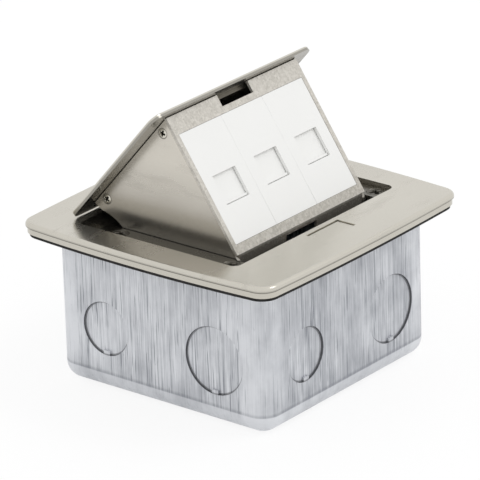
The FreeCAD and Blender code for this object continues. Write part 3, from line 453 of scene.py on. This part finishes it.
def galvanisedSteel(name, discRadius=0):
    # Zinc-coated drawn steel: upright draw lines that fade near the corners and below the crease. Painted shade
    # darkens the front wall. A wall has sheared rims in its holes, darker as raw steel and as painted shade, and
    # painted shade along its crease; a disc has painted shade along its border.
    look = drawnSteel
    finish = newFinish(name)
    fine = finish.cloud(look["fineSize"], (1, 1, look["fineStretch"]), 2, 0.6)
    middle = finish.cloud(look["middleSize"], (1, 1, look["middleStretch"]), 3, 0.6)
    lines = finish.step(finish.cloud(look["lineSize"], (1, 1, look["lineStretch"]), 2), 0.6, 0.66)
    patches = finish.cloud(look["patchSize"], (1, 1, 1.6), 4, 0.6)
    pits = finish.step(finish.cloud(look["pitSize"], (1, 1, 2.4), 3, 0.7), 0.68, 0.8)
    calm = finish.step(finish.cloud(look["calmSize"], (1, 1, 1.4), 2), 0.5, 0.62)
    low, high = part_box("back_box")
    aside = high.x - wallPlace(finish)[1]
    corner = finish.fall(aside, look["cornerEnd"] * mm, look["cornerStart"] * mm)
    # painted shade on the front wall
    front = finish.fall(finish.along("Y"), low.y + mm, low.y + 6 * mm)
    strength = (1 - look["calm"] * calm) * (1 - look["cornerCalm"] * corner)
    streaks = look["fineWeight"] * (fine - 0.5) + (middle - 0.5) + look["lineWeight"] * lines
    share = look["worn"] + look["patchWeight"] * (patches - 0.5) + look["pitWeight"] * pits
    share = share - look["cornerLight"] * corner
    if discRadius:
        share = share + streaks * strength + look["frontShade"] * front
        # painted shade along the disc's border
        edge = 0.6 * discRimShade(finish, discRadius)
    else:
        height = finish.along("Z")
        crease = look["crease"] * mm
        wall = finish.step(height, crease - 0.6 * mm, crease + 0.3 * mm)
        darker = finish.fall(height, crease - 0.4 * mm, crease + look["lowReach"] * mm) * wall
        # painted shade along the crease line
        near = finish.step(height, crease - 0.5 * mm, crease)
        near = near * finish.fall(height, crease, crease + 1.6 * mm)
        shown = look["belowCrease"] + (1 - look["belowCrease"]) * wall
        share = share + streaks * strength * shown + look["frontShade"] * front * wall
        share = share + look["lowWeight"] * darker + look["creaseShade"] * near
        # the holes' sheared rims: darker as raw steel, and as painted shade
        edge = 0.9 * shearedRimAndShade(finish)
    colour = finish.mix(edge, finish.mix(share, look["light"], look["dark"]), look["shearedAndShade"])
    gloss = look["roughness"] + 0.2 * (patches - 0.5) + 0.12 * lines
    relief = finish.relief((1 - fine) * 0.5 - lines + 0.3 * patches, 0.05)
    return finish.close(colour, gloss, look["metallic"], relief)


spangle = {
    "light": shade(214, 210, 202),
    "dark": shade(166, 162, 153),
    # painted shade: the colour of the turned-under strip
    "shadedFold": shade(138, 132, 123),
    "metallic": 0.55,
    "roughness": 0.36,
    "size": 0.9,          # mm
    "speckleSize": 0.42,
    "footDull": 0.35,     # how much greyer the strip along the foot is
    "foldDepth": 0.3,     # mm behind the face, where the turned-under strip begins
    "foldReach": 8,       # mm up from the foot
    "footReach": 16,
}


def spangledZinc(name):
    # Hot-dip zinc: crystals of slightly different tone, with a fine speckle over them. The strip turned
    # under along the foot is darkened by painted shade, with bright specks left in it.
    finish = newFinish(name)
    crystals = finish.cells(spangle["size"])
    small = finish.cells(spangle["size"] * 0.45, (1, 1, 1.7))
    speckle = finish.step(finish.cloud(spangle["speckleSize"], rough=0.7), 0.52, 0.72)
    streak = finish.cloud(0.8, (1, 4, 7), 3, 0.6)
    low, high = spanAlong("face_frame", face)
    climb = finish.toward(face[1])
    fold = high[2] - spangle["foldDepth"] * mm
    reach = low[1] + spangle["foldReach"] * mm
    # painted shade on the turned-under strip along the foot, with the spangle's bright specks left in it
    foldShade = finish.fall(finish.toward(face[2]), fold - 0.6 * mm, fold)
    foldShade = foldShade * finish.fall(climb, reach - 2 * mm, reach)
    specks = finish.step(finish.cloud(0.5, rough=0.75), 0.54, 0.66)
    shadedFold = finish.mix(specks, spangle["shadedFold"], spangle["light"])
    reach = low[1] + spangle["footReach"] * mm
    share = 0.5 * crystals + 0.25 * small + 0.5 * speckle + 0.5 * (streak - 0.5) - 0.12
    share = share + spangle["footDull"] * finish.fall(climb, reach - 6 * mm, reach)
    colour = finish.mix(foldShade, finish.mix(share, spangle["light"], spangle["dark"]), shadedFold)
    gloss = spangle["roughness"] + 0.18 * crystals + 0.1 * speckle
    return finish.close(colour, gloss, spangle["metallic"], finish.relief(crystals * 0.6 + speckle, 0.02))


def mouldedPlastic(name, colour, roughness, grainSize=0.35, depth=0.006):
    # injection-moulded plastic: an even colour, a fine spark-eroded grain and slight flow marks
    finish = newFinish(name)
    flow = finish.cloud(16)
    grain = finish.cloud(grainSize, detail=2)
    tone = 1 - 0.025 * (flow - 0.5) - 0.015 * (grain - 0.5)
    gloss = roughness + 0.08 * (flow - 0.5) + 0.06 * (grain - 0.5)
    return finish.close(finish.tint(colour, tone), gloss, 0, finish.relief(grain, depth, 0.6))


foam = {
    "colour": shade(26, 25, 24),
    "pore": shade(44, 43, 41),
    "roughness": 0.86,
    "poreSize": 0.5,     # mm
    "poreDepth": 0.12,
}


def foamRubber(name):
    # closed-cell foam: matt black with small open pores along its cut edge
    finish = newFinish(name)
    pores = finish.cells(foam["poreSize"])
    dust = finish.cloud(3, detail=4)
    colour = finish.mix(0.6 * pores + 0.5 * (dust - 0.4), foam["colour"], foam["pore"])
    relief = finish.relief(pores, foam["poreDepth"], 0.8)
    return finish.close(colour, foam["roughness"] + 0.1 * (dust - 0.5), 0, relief)


def turnedMetal(name, colour, roughness, darker=0.2):
    # turned and plated metal: fine tool marks and a little tarnish
    finish = newFinish(name)
    tarnish = finish.cloud(2.2, detail=4, rough=0.65)
    marks = finish.cloud(0.12, (1, 1, 6), 2)
    tone = 1 - darker * finish.step(tarnish, 0.4, 0.75) - 0.08 * (marks - 0.5)
    gloss = roughness + 0.2 * (tarnish - 0.5) + 0.08 * (marks - 0.5)
    return finish.close(finish.tint(colour, tone), gloss, 1, finish.relief(marks, 0.01))


finishes = {
    "galvanised_steel": galvanisedSteel("galvanisedSteel"),
    "brass": turnedMetal("plainBrass", shade(200, 170, 104), 0.32),
    "gasket_rubber": foamRubber("foamRubber"),
    "base_metal": shadedLedgeBase("shadedLedgeBase"),
    "satin_steel": satinSteel("satinSteel"),
    "screw_steel": turnedMetal("screwSteel", shade(196, 192, 180), 0.3),
    "zinc_sheet": spangledZinc("spangledZinc"),
    "white_plastic": mouldedPlastic("whitePlastic", shade(243, 243, 241), 0.36),
    "black_plastic": mouldedPlastic("blackPlastic", shade(46, 46, 48), 0.45, 0.5, 0.02),
    "gear_plastic": mouldedPlastic("gearPlastic", shade(226, 222, 210), 0.42),
    "contact_gold": turnedMetal("goldContact", shade(226, 186, 104), 0.24, 0.08),
}

cheekSteel = satinSteel("cheekSteel", shadedCheek, True, colour=cheek["colour"],
                        roughness=cheek["roughness"], smudge=cheek["smudge"])
ownFinishes = {
    "knockouts_small": galvanisedSteel("smallDiscSteel", drawnSteel["smallDisc"]),
    "knockouts_large": galvanisedSteel("largeDiscSteel", drawnSteel["largeDisc"]),
    "cheek_left": cheekSteel,
    "cheek_right": cheekSteel,
    "lid_plate": satinSteel("lidSteel", shadedLidUnderside),
    # the bracket under the lid: its darker colour is painted shade
    "lid_bracket": satinSteel("bracketSteel", colour=satin["bracketShadedColour"],
                              roughness=satin["bracketRoughness"]),
}


def finishNodes():
    slots = {part["node"]: part["material_slot"] for part in frame["record"]["subparts"]}
    for name, item in nodes.items():
        for place in item.material_slots:
            place.material = ownFinishes.get(name, finishes[slots[name]])


finishNodes()
print("finishes made:", len(finishes) + len(ownFinishes))


def gridPiece(name, grids, body, slot, material=None):
    # One mesh from several grids of points, each rows x columns x 3. A grid is closed along its columns,
    # and its first and last rows are single points.
    points = np.concatenate([grid.reshape(-1, 3) for grid in grids])
    faces = []
    first = 0
    for grid in grids:
        rows, columns = grid.shape[:2]
        index = first + np.arange(rows * columns).reshape(rows, columns)
        beside = np.roll(index, -1, 1)
        faces.append(np.stack([index[:-1], beside[:-1], beside[1:], index[1:]], -1).reshape(-1, 4))
        first += rows * columns
    mesh = bpy.data.meshes.new(name)
    mesh.from_pydata(points.tolist(), [], np.concatenate(faces).tolist())
    shape = bmesh.new()
    shape.from_mesh(mesh)
    bmesh.ops.remove_doubles(shape, verts=shape.verts, dist=1e-7)
    bmesh.ops.recalc_face_normals(shape, faces=shape.faces)
    shape.to_mesh(mesh)
    shape.free()
    mesh.polygons.foreach_set("use_smooth", np.ones(len(mesh.polygons), bool))
    mesh.materials.append(material or finishes[slot])
    piece = bpy.data.objects.new(name, mesh)
    bpy.context.scene.collection.objects.link(piece)
    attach(piece, body)
    return piece


def smoothStep(values, low, high):
    share = np.clip((values - low) / (high - low), 0, 1)
    return share * share * (3 - 2 * share)


recess = {
    "reach": 0.7,         # shares of the head's radius
    "halfWidth": 0.17,
    "depth": 0.5,
    "ease": 0.13,         # of the head's rounded rim
    "limit": 0.9,         # radius that the recess stays within
    "rings": 34,
    "spokes": 96,
}


def screwGrid(centre, axis, screw, spin):
    # A profile of radius and height is spun about the axis. Inside the head's low crown, the height drops
    # by the cross recess, whose depth is the larger of two arms, each a soft-edged strip across the middle.
    head, shank, length, dome = (screw[part] * mm for part in ("head", "shank", "length", "dome"))
    ease = head * recess["ease"]
    flat = np.linspace(0, head - ease, recess["rings"])
    bend = np.linspace(0, math.pi / 2, 5)[1:]
    radius = np.concatenate([flat, head - ease + ease * np.sin(bend), [shank, shank, 0]])
    crown = dome * (1 - (flat / flat[-1]) ** 2)
    height = np.concatenate([crown, -ease * (1 - np.cos(bend)), [shank - head, -length, -length]])
    angle = np.linspace(0, 2 * math.pi, recess["spokes"], endpoint=False)
    across = radius[:, None] * np.cos(angle)
    upward = radius[:, None] * np.sin(angle)
    reach = head * recess["reach"]
    half = head * recess["halfWidth"]

    def arm(along, beside):
        narrow = 1 - smoothStep(abs(beside), half * 0.7, half * 1.5)
        return narrow * (1 - smoothStep(abs(along), reach * 0.75, reach))

    first = across * math.cos(spin) + upward * math.sin(spin)
    second = upward * math.cos(spin) - across * math.sin(spin)
    drop = np.maximum(arm(first, second), arm(second, first)) * head * recess["depth"]
    onTop = (np.arange(len(radius)) < len(flat)) & (radius < head * recess["limit"])
    height = height[:, None] - drop * onTop[:, None]
    side = axis.orthogonal().normalized()
    other = axis.cross(side)
    return (np.array(centre) + across[..., None] * np.array(side) + upward[..., None] * np.array(other)
            + height[..., None] * np.array(axis))


coverScrew = {
    "head": 3.7,          # mm, as are the next three
    "shank": 2.0,
    "length": 12,
    "dome": 0,
    "spins": (0.4, 1.0, 0.2, 0.75),
    # painted shade: a darker copy of the screw steel, for the screws on the shaded ledge
    "colour": shade(104, 101, 94),
    "roughness": 0.36,
    "tarnish": 0.3,
}


def makeCoverScrews():
    low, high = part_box("cover_screws")
    head = coverScrew["head"] * mm
    places = [(x, y, high.z) for x in (low.x + head, high.x - head) for y in (low.y + head, high.y - head)]
    grids = [screwGrid(place, Vector((0, 0, 1)), coverScrew, spin)
             for place, spin in zip(places, coverScrew["spins"])]
    # painted shade: the cover screws get a darker copy of the screw steel
    darker = turnedMetal("shadedScrewSteel", coverScrew["colour"], coverScrew["roughness"],
                       coverScrew["tarnish"])
    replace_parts(gridPiece("coverScrewsFine", grids, "frame", "screw_steel", darker), "cover_screws")


cheekScrew = {
    "head": 1.9,          # mm, as are the next three
    "shank": 1.1,
    "length": 4.7,
    "dome": 0.2,
    "spins": (0.5, 0.15, 0.9, 0.3),
    # painted highlight: a lighter copy of the screw steel
    "colour": shade(222, 218, 206),
    "recessShade": shade(48, 46, 42),
    "roughness": 0.26,
    "recessShadeStart": 0.45,    # mm below the head's crown, over which the recess darkens with painted shade
    "recessShadeEnd": 0.1,
}


def litAndShadedScrewSteel(top):
    # scratched steel, lighter than the screw steel as painted highlight, and dark with painted shade below the
    # heads' outer faces
    finish = newFinish("litAndShadedScrewSteel")
    below = top - abs(finish.along("X"))
    recessShade = finish.step(below, cheekScrew["recessShadeEnd"] * mm, cheekScrew["recessShadeStart"] * mm)
    scratched = finish.cloud(0.3, (1, 5, 1))
    colour = finish.tint(finish.mix(recessShade, cheekScrew["colour"], cheekScrew["recessShade"]), 1 - 0.1 * scratched)
    gloss = cheekScrew["roughness"] + 0.2 * (scratched - 0.5)
    return finish.close(colour, gloss, 1, finish.relief(scratched, 0.01))


def makeCheekScrews():
    low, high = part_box("cheek_screws")
    head = cheekScrew["head"] * mm
    places = [(side, y, z) for side in (-1, 1)
              for y, z in ((low.y + head, high.z - head), (high.y - head, low.z + head))]
    grids = [screwGrid((high.x * side, y, z), Vector((side, 0, 0)), cheekScrew, spin)
             for (side, y, z), spin in zip(places, cheekScrew["spins"])]
    piece = gridPiece("cheekScrewsFine", grids, "popup", "screw_steel", litAndShadedScrewSteel(high.x))
    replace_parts(piece, "cheek_screws")


makeCoverScrews()
makeCheekScrews()
print("screws made")


spring = {
    "wire": 1.1,         # mm
    "gap": 0.15,
    "turns": 4,
    "leg": 3.4,
    "steps": 40,         # along each turn
    "sides": 12,
}


def springGrid(side, outer, centreY, centreZ, mean):
    # A round wire carried along a helix about the hinge axis. Past each end the path goes straight on,
    # as a short leg. The wire's section stands on the path's radial direction and the hinge axis.
    wire = spring["wire"] * mm
    pitch = (spring["wire"] + spring["gap"]) * mm
    sweep = 2 * math.pi * spring["turns"]
    leg = spring["leg"] * mm / mean
    travel = np.linspace(-leg, sweep + leg, spring["steps"] * (spring["turns"] + 1))
    angle = np.clip(travel, 0, sweep)
    extra = (travel - angle) * mean
    radial = np.stack([angle * 0, np.cos(angle), np.sin(angle)], -1)
    onward = np.stack([angle * 0, -np.sin(angle), np.cos(angle)], -1)
    shift = np.stack([-side * pitch * angle / (2 * math.pi), angle * 0, angle * 0], -1)
    path = np.array((side * outer, centreY, centreZ)) + shift + radial * mean + onward * extra[:, None]
    turn = np.linspace(0, 2 * math.pi, spring["sides"], endpoint=False)
    axis = np.array((1.0, 0, 0))
    section = radial[:, None] * np.cos(turn)[None, :, None] + axis * np.sin(turn)[None, :, None]
    tube = path[:, None] + section * wire / 2
    caps = [np.repeat(path[end][None, None], spring["sides"], 1) for end in (0, -1)]
    return np.concatenate([caps[0], tube, caps[1]])


def makeSprings():
    low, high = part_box("torsion_springs")
    mean = (high.z - low.z - spring["wire"] * mm) / 2
    outer = high.x - spring["wire"] * mm / 2
    centreY, centreZ = (low.y + high.y) / 2, (low.z + high.z) / 2
    grids = [springGrid(side, outer, centreY, centreZ, mean) for side in (-1, 1)]
    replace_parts(gridPiece("torsionSpringsFine", grids, "frame", "screw_steel"), "torsion_springs")


makeSprings()
print("springs made")


seam = {
    "halfWidth": 0.16,     # mm, as are the others
    "gap": 0.15,           # between two outlets
    "front": 0.03,         # behind the outlets' face
    "back": 0.8,
    "trim": 0.3,           # short of the outlets' ends
}


def makeSeamLips():
    # Each outlet laps its neighbour: a lip closes the seam. Its four rows of points are a rectangle across
    # the seam and out of the face, carried up the slope, with each end drawn in to one point.
    low, high = spanAlong("data_module_2", face)
    half, trim = seam["halfWidth"] * mm, seam["trim"] * mm
    front, back = high[2] - seam["front"] * mm, high[2] - seam["back"] * mm
    centre = (front + back) / 2
    size = np.array((0, 1, 1, 0))[:, None]
    climb = np.repeat(np.array((low[1] + trim, low[1] + trim, high[1] - trim, high[1] - trim))[:, None], 4, 1)
    across = size * np.array((-half, half, half, -half))
    outward = centre + size * (np.array((front, front, back, back)) - centre)
    grids = [np.stack([edge + math.copysign(seam["gap"] * mm / 2, edge) + across, climb, outward], -1) @ face
             for edge in (low[0], high[0])]
    gridPiece("moduleSeamLips", grids, "popup", "white_plastic")


makeSeamLips()
print("seam lips made")


studio = {
    "floorSize": 12,         # metres
    "floorTone": 0.86,
    "floorRoughness": 0.9,
    "whiteStrength": 1.04,
    "whiteShare": 0.82,      # of the plain white that the camera sees in the floor; the rest is lit
    "skyStrength": 0.88,
    "keyPower": 10,          # watts
    "keySize": 0.9,
    "keyPlace": (0.9, -1.2, 2.2),
}


def seenDirectly(finish):
    # 1 for what the camera sees, straight or in metal or glass
    rays = [finish.add("ShaderNodeLightPath", output=kind)
            for kind in ("Is Camera Ray", "Is Glossy Ray", "Is Transmission Ray")]
    return finish.step(rays[0] + rays[1] + rays[2], 0, 1)


def makeFloor():
    half = studio["floorSize"] / 2
    level = cadBounds[0][2]
    corners = [(x, y, level) for x, y in ((-half, -half), (half, -half), (half, half), (-half, half))]
    mesh = bpy.data.meshes.new("floor")
    mesh.from_pydata(corners, [], [(0, 1, 2, 3)])
    finish = newFinish("paleFloor")
    colour = (*[studio["floorTone"]] * 3, 1)
    inputs = {"Base Color": colour, "Roughness": studio["floorRoughness"]}
    lit = finish.add("ShaderNodeBsdfPrincipled", {}, inputs)
    inputs = {"Color": (1, 1, 1, 1), "Strength": studio["whiteStrength"]}
    plain = finish.add("ShaderNodeEmission", {}, inputs)
    share = seenDirectly(finish) * studio["whiteShare"]
    both = finish.add("ShaderNodeMixShader", {}, {0: share, 1: lit, 2: plain})
    finish.add("ShaderNodeOutputMaterial", {}, {"Surface": both}, None)
    mesh.materials.append(finish.holder)
    floor = bpy.data.objects.new("floor", mesh)
    bpy.context.scene.collection.objects.link(floor)


def makeSky():
    world = bpy.data.worlds.new("sky")
    bpy.context.scene.world = world
    finish = Finish(world)
    light, plain = [finish.add("ShaderNodeBackground", {}, {"Color": (1, 1, 1, 1), "Strength": strength})
                    for strength in (studio["skyStrength"], 1)]
    both = finish.add("ShaderNodeMixShader", {}, {0: seenDirectly(finish), 1: light, 2: plain})
    finish.add("ShaderNodeOutputWorld", {}, {"Surface": both}, None)


def makeLamp():
    data = bpy.data.lights.new("keyLamp", "AREA")
    data.energy = studio["keyPower"]
    data.size = studio["keySize"]
    lamp = bpy.data.objects.new("keyLamp", data)
    bpy.context.scene.collection.objects.link(lamp)
    lamp.location = studio["keyPlace"]
    lamp.rotation_euler = (-Vector(studio["keyPlace"])).to_track_quat("-Z", "Y").to_euler()


makeFloor()
makeSky()
makeLamp()
bpy.context.scene.view_settings.view_transform = "Standard"
print("stage made")
